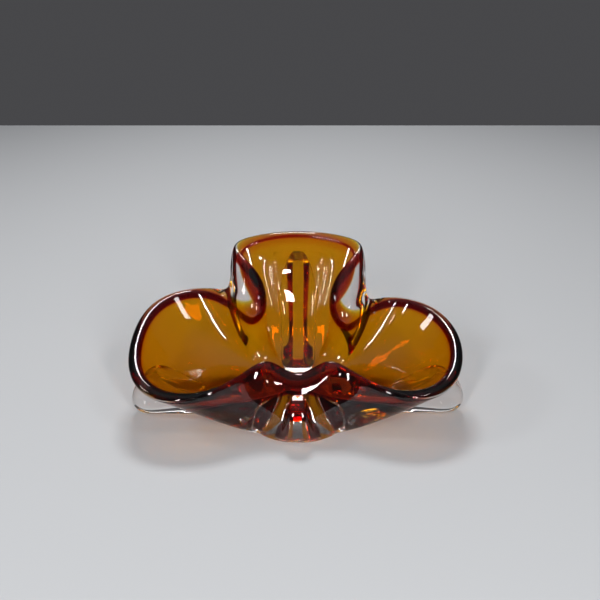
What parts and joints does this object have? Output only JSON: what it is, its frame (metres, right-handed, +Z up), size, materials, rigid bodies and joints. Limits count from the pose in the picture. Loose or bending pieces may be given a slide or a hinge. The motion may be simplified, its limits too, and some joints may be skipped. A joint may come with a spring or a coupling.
{
  "type": "art glass bowl",
  "caption": "Thick cased art glass bowl: amber lining in a clear casing, rim pulled into side and back lobes with deep folds, on a flat ground base with pulled clear fins.",
  "frame": {"origin": "centre of the flat ground base, on the surface that the bowl rests on", "axes": "+X to the right along the two side lobes, +Y to the back towards the tall back lobe, +Z up"},
  "size_m": [0.2852, 0.1803, 0.1301],
  "materials": {
    "amber_glass": "polished",
    "clear_glass": "polished"
  },
  "bodies": {
    "root": {"amber_lining": "amber_glass", "clear_casing": "clear_glass", "left_fin": "clear_glass", "right_fin": "clear_glass", "back_fin": "clear_glass", "front_fin": "clear_glass"}
  },
  "joints": []
}
